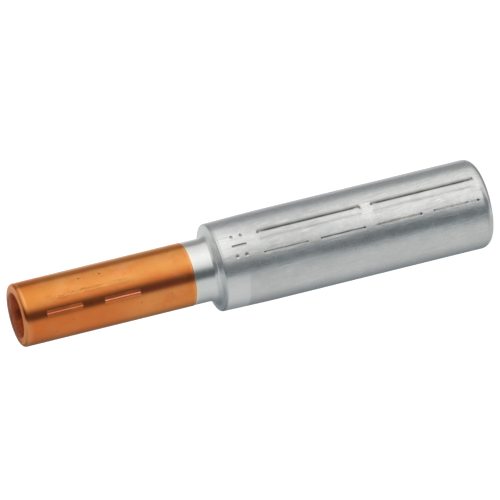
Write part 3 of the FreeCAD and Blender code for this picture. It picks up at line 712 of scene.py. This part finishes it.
# ------------------------------------------------------------------ aluminium sleeve
def aluminium_rings():
    BARREL, TURNED, BORE, END = 0, 1, 2, 3
    out = [(0.0, ALU_DEPTH + R_ALU_BORE / TAN_DRILL, BORE, False)]
    for r in (0.25, 0.9, 1.7, 2.5, 3.2, 3.7, 3.92):
        out.append((r, ALU_DEPTH + (R_ALU_BORE - r) / TAN_DRILL, BORE, False))
    out += [(R_ALU_BORE, z, BORE, False) for z in
            (ALU_DEPTH, ALU_DEPTH - 0.1, ALU_DEPTH - 0.6, *np.arange(40.0, 1.5, -2.0), 1.2, 0.6, 0.38)]
    out += [(R_ALU_BORE + 0.01, ALU_CHAMFER, BORE, False)]
    c = ALU_CHAMFER
    out += [(R_ALU_BORE + 0.06, c - 0.06, END, False), (R_ALU_BORE + c - 0.06, 0.06, END, False),
            (R_ALU_BORE + c, 0.012, END, False), (R_ALU_BORE + c + 0.06, 0.0, END, False),
            (4.9, 0.0, END, False), (5.4, 0.0, END, False)]
    e = END_ROUND
    for r, z in arc(R_BARREL - e, e, e, -90, 0, 19):
        out.append((r, z, END, False))
    ends = [zc + s * LONG["length"] / 2 for zc in LONG["at"] for s in (-1, 1)]
    ends += [zc + s * SHORT["length"] / 2 for zc in SHORT["at"] for s in (-1, 1)]
    fine = [(q - 0.22, q + 0.22, 0.05) for q in ends]
    fine += [(PUNCH_BAR["z"] - 1.35, PUNCH_BAR["z"] - 1.0, 0.06),
             (PUNCH_BAR["z"] + 1.0, PUNCH_BAR["z"] + 1.35, 0.06)]
    fine += [(z - 0.36, z + 0.36, 0.06) for z in (40.25, 41.75)]
    fine += [(q[1] - 0.25, q[1] + 0.25, 0.05) for q in PITS]
    fine += [(zc - 3.8, zc + 3.8, 0.18) for zc in SHORT["at"][2:]]
    top = SHOULDER - SHOULDER_DROP - SHOULDER_ROUND
    for z in graded(e, top, 0.7, fine + [(e, e + 0.1, 0.08), (top - 0.1, top, 0.05)])[1:]:
        # the lead starts softly
        t = (z - (SHOULDER - LEAD)) / LEAD
        drop = (R_BARREL - R_SHOULDER) * (t if t > 0.12 else max(0.0, t + 0.12) ** 2 / 0.48)
        out.append((R_BARREL - max(0.0, drop), z, BARREL, True))
    # shoulder: rounded edge, a face that rises slightly towards the neck, root fillet
    q, lean = SHOULDER_ROUND, SHOULDER_LEAN
    for r, z in arc(R_SHOULDER - q, SHOULDER - SHOULDER_DROP - q, q, 0, 90 - lean, 9)[1:]:
        out.append((r, z, TURNED, False))
    r0, z0 = out[-1][:2]
    r1 = R_NECK + ROOT_ROUND * (1 - math.sin(math.radians(lean)))
    z1 = z0 + (r0 - r1) * math.tan(math.radians(lean))
    for t in (0.06, 0.35, 0.65, 0.94):
        out.append((r0 + (r1 - r0) * t, z0 + (z1 - z0) * t, TURNED, False))
    for r, z in arc(R_NECK + ROOT_ROUND, z1 + ROOT_ROUND * math.cos(math.radians(lean)), ROOT_ROUND,
                    270 - lean, 180, 11):
        out.append((r, z, TURNED, False))
    for z in (*np.linspace(SHOULDER + ROOT_ROUND + 0.16, WELD - 0.3, 6), WELD - 0.05):
        out.append((R_NECK, z, TURNED, False))
    out += [(R_NECK - 0.015, WELD - 0.012, TURNED, False), (R_NECK - 0.05, WELD, TURNED, False),
            (4.0, WELD, TURNED, False), (2.0, WELD, TURNED, False), (0.0, WELD, TURNED, False)]
    return out


def edge_columns(angle, width, r, step):
    half = math.degrees(width / 2 / r)
    pad = math.degrees(0.3 / r)
    return [(angle - half - 0.3 * pad, angle - half + pad, step),
            (angle + half - pad, angle + half + 0.3 * pad, step)]


wanted = edge_columns(LONG["angle"], LONG["width"], R_BARREL, 0.28)
wanted += edge_columns(SHORT["angle"], SHORT["width"], R_BARREL, 0.28)
wanted += [(a - 3, a + 3, 0.45) for a in (-34.0, -20.0, -6.0)]
wanted += [(-10.0, 1.0, 0.7)]
phis = graded(-180.0, 180.0, 2.5, wanted)[:-1]
ALU = [metal("drawn_aluminium", drawn_aluminium), metal("turned_aluminium", turned_aluminium),
       metal("bored_aluminium", bored_aluminium), metal("rounded_aluminium", drawn_aluminium)]
alu = lathe("aluminium_connector_body", aluminium_rings(), phis, barrel_relief, ALU)
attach(alu, "root")
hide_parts("aluminium_sleeve")


# ------------------------------------------------------------------ copper sleeve
def copper_rings():
    TUBE, CUT, BORE = 0, 1, 2
    top = TOTAL
    out = [(0.0, WELD, TUBE, False), (2.0, WELD, TUBE, False), (4.0, WELD, TUBE, False),
           (R_COPPER - 0.05, WELD, TUBE, False), (R_COPPER - 0.015, WELD + 0.012, TUBE, False)]
    ends = [zc + s * COPPER_MARK["length"] / 2 for zc in COPPER_MARK["at"] for s in (-1, 1)]
    ends += [zc + s * FAINT_MARK["length"] / 2 for zc in FAINT_MARK["at"] for s in (-1, 1)]
    fine = [(q - 0.2, q + 0.2, 0.05) for q in ends]
    fine += [(z - 0.3, z + 0.3, 0.06) for _, z in COPPER_DOTS]
    fine += [(59.0, 70.5, 0.2)]
    fine += [(WELD, WELD + 0.1, 0.05), (top - MOUTH_ROUND - 0.1, top - MOUTH_ROUND, 0.05)]
    for z in graded(WELD + 0.05, top - MOUTH_ROUND, 0.45, fine):
        out.append((R_COPPER, z, TUBE, True))
    q = MOUTH_ROUND
    for k, (r, z) in enumerate(arc(R_COPPER - q, top - q, q, 0, 90, 16)[1:]):
        out.append((r, z, TUBE if k < 9 else CUT, False))
    c, drop = MOUTH_INNER, MOUTH_INNER * 0.80
    out += [(4.35, top, CUT, False), (4.0, top, CUT, False), (R_COPPER_BORE + c + 0.05, top, CUT, False),
            (R_COPPER_BORE + c, top - 0.012, CUT, False),
            (R_COPPER_BORE + c - 0.05, top - 0.055, CUT, False),
            (R_COPPER_BORE + c / 2, top - 0.01 - drop / 2, CUT, False),
            (R_COPPER_BORE + 0.05, top - drop + 0.03, CUT, False),
            (R_COPPER_BORE + 0.01, top - drop - 0.03, CUT, False)]
    c = drop
    floor = top - COPPER_DEPTH
    out += [(R_COPPER_BORE, z, BORE, False) for z in
            (top - c - 0.1, top - 0.7, top - 1.3, *np.arange(top - 2.5, floor + 1, -1.6),
             floor + 0.5, floor + 0.1, floor)]
    for r in (3.42, 3.2, 2.6, 1.9, 1.1, 0.4, 0.15):
        out.append((r, floor - (R_COPPER_BORE - r) / TAN_DRILL, BORE, False))
    out.append((0.0, floor - R_COPPER_BORE / TAN_DRILL, BORE, False))
    return out


wanted = [(COPPER_MARK["starts"][0] - 1, COPPER_MARK["starts"][1] + 13, 0.40)]
wanted += edge_columns(FAINT_MARK["angle"], FAINT_MARK["width"], R_COPPER, 0.6)
wanted += [(-46.5, -39.5, 0.6)]
phis = graded(-180.0, 180.0, 2.5, wanted)[:-1]
CU = [metal("bright_copper", bright_copper), metal("cut_copper", cut_copper),
      metal("bored_copper", bored_copper)]
copper = lathe("copper_connector_tube", copper_rings(), phis, copper_relief, CU)
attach(copper, "root")
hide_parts("copper_sleeve")


# ------------------------------------------------------------------ floor
def pale_floor():
    mat = bpy.data.materials.new("pale_floor")
    mat.use_nodes = True
    g = Graph(mat.node_tree)
    out = g.node("ShaderNodeOutputMaterial")
    s = g.node("ShaderNodeBsdfPrincipled")
    g.tree.links.new(s.outputs[0], out.inputs[0])
    s.inputs["Base Color"].default_value = (0.92, 0.92, 0.92, 1)
    s.inputs["Roughness"].default_value = 0.9
    s.inputs["Specular IOR Level"].default_value = 0.0
    s.inputs["Emission Color"].default_value = (1, 1, 1, 1)
    s.inputs["Emission Strength"].default_value = 0.72
    return mat


size = 12.0
mesh = bpy.data.meshes.new("floor")
mesh.from_pydata([(-size, -size, 0), (size, -size, 0), (size, size, 0), (-size, size, 0)], [], [(0, 1, 2, 3)])
mesh.materials.append(pale_floor())
floor = bpy.data.objects.new("floor", mesh)
scene.collection.objects.link(floor)
floor.visible_glossy = False

# ------------------------------------------------------------------ camera at the photo's angle
FOCAL_PX, ELEVATION, ROLL = 9000.0, 0.2641, 0.2406
TX, TY, DISTANCE, MIDDLE = -0.2238, 1.3773, 1389.186, 37.9867
axis = np.array([math.cos(ELEVATION) * math.cos(ROLL), -math.cos(ELEVATION) * math.sin(ROLL),
                 math.sin(ELEVATION)])          # copper mouth to aluminium mouth, seen by the camera
down = np.array([math.sin(ROLL), math.cos(ROLL), 0.0])
away = np.cross(axis, down)
to_camera = np.column_stack([-down, away, -axis])   # the part's X, Y and Z in camera terms
origin = np.array([TX, TY, DISTANCE]) + (TOTAL - MIDDLE) * axis
place = -to_camera.T @ origin * MM
right, up, back = to_camera.T @ [1, 0, 0], to_camera.T @ [0, -1, 0], to_camera.T @ [0, 0, -1]
camera_data = bpy.data.cameras.new("camera")
camera = bpy.data.objects.new("camera", camera_data)
scene.collection.objects.link(camera)
camera.matrix_world = Matrix([[right[0], up[0], back[0], place[0]], [right[1], up[1], back[1], place[1]],
                              [right[2], up[2], back[2], place[2]], [0, 0, 0, 1]])
camera_data.sensor_width = 36.0
camera_data.lens = FOCAL_PX / 500.0 * 36.0
camera_data.clip_start, camera_data.clip_end = 0.05, 60.0
scene.camera = camera

# ------------------------------------------------------------------ soft studio light
world = bpy.data.worlds.new("studio")
scene.world = world
world.use_nodes = True
g = Graph(world.node_tree)
out = g.node("ShaderNodeOutputWorld")
direction = g.node("ShaderNodeTexCoord").outputs["Generated"]
x, y, z = g.xyz(direction)
# azimuth round the part, 0 towards the camera's side (-Y) and rising towards -X, in turns
turn = g.math("DIVIDE", g.math("ARCTAN2", g.math("MULTIPLY", x, -1.0), g.math("MULTIPLY", y, -1.0)),
              2 * math.pi)
around = g.math("ADD", turn, 0.5)
CLEAR, COOL, GREEN = (1.0, 1.0, 0.985), (0.92, 1.03, 1.07), (0.975, 1.01, 0.99)


def band(stops):
    """Light against azimuth: (degrees, level, tint)."""
    ramp = g.node("ShaderNodeValToRGB")
    g.put(ramp.inputs[0], around)
    elements = ramp.color_ramp.elements
    while len(elements) > 1:
        elements.remove(elements[-1])
    for k, (deg, level, tint) in enumerate(stops):
        e = elements[0] if k == 0 else elements.new((deg + 180) / 360)
        e.position = (deg + 180) / 360
        e.color = (*(level * t for t in tint), 1)
    return ramp.outputs[0]


EVEN = (0.98, 1.005, 1.0)
ring = band([(-180, .72, CLEAR), (-150, .68, CLEAR), (-139, .41, EVEN), (-129, .36, EVEN),
             (-121, .325, EVEN), (-112, .285, EVEN),
             (-103, .66, CLEAR), (-90, .78, CLEAR), (-72, .895, CLEAR), (-60, .98, CLEAR),
             (-45, 1.0, CLEAR), (-35, .95, CLEAR), (-25, .88, CLEAR), (-18, .79, CLEAR),
             (-11, .65, CLEAR), (-5, .45, CLEAR), (0, .26, COOL), (5, .15, COOL), (11, .112, COOL),
             (24.5, .115, COOL), (29.3, .18, COOL), (34, .42, COOL), (40, .58, GREEN), (50, .625, GREEN),
             (85, .62, GREEN), (100, .60, GREEN), (112, .56, GREEN), (122, .46, GREEN),
             (132, .36, COOL), (150, .27, COOL), (170, .27, COOL), (180, .60, CLEAR)])
above = band([(-180, .58, CLEAR), (-45, .58, CLEAR), (-30, .44, CLEAR), (-20, .23, CLEAR),
              (-8, .16, COOL), (20, .15, COOL), (33, .52, COOL), (48, .56, GREEN), (120, .46, GREEN), (172, .46, CLEAR)])
top = band([(-180, .36, CLEAR), (-45, .38, CLEAR), (-20, .20, COOL), (0, .15, COOL), (30, .15, COOL),
            (50, .62, GREEN), (120, .60, GREEN), (172, .38, CLEAR)])
below = band([(-180, .28, EVEN), (-128, .28, EVEN), (-104, .66, CLEAR), (-75, .82, CLEAR),
              (-50, .76, CLEAR), (-32, .42, CLEAR), (-18, .22, CLEAR), (-4, .17, COOL), (6, .14, COOL),
              (32, .14, COOL), (44, .46, GREEN), (90, .58, GREEN), (160, .56, GREEN), (176, .36, EVEN)])
colour = g.mix(g.ramp(z, 0.42, 0.62, soft=True), ring, above)
colour = g.mix(g.ramp(z, 0.72, 0.90, soft=True), colour, top)
colour = g.mix(g.ramp(z, -0.36, -0.60, soft=True), colour, below)
seen = g.node("ShaderNodeLightPath").outputs["Is Camera Ray"]
colour = g.mix(seen, colour, (1.0, 1.0, 1.0))
bg = g.node("ShaderNodeBackground")
g.put(bg.inputs[0], colour)
bg.inputs[1].default_value = 1.0
g.tree.links.new(bg.outputs[0], out.inputs[0])

scene.view_settings.view_transform = "Standard"
scene.view_settings.look = "None"

# ------------------------------------------------------------------ triangle counts
print("triangles", {o.name: sum(len(q.vertices) - 2 for q in o.data.polygons) for o in (alu, copper)})
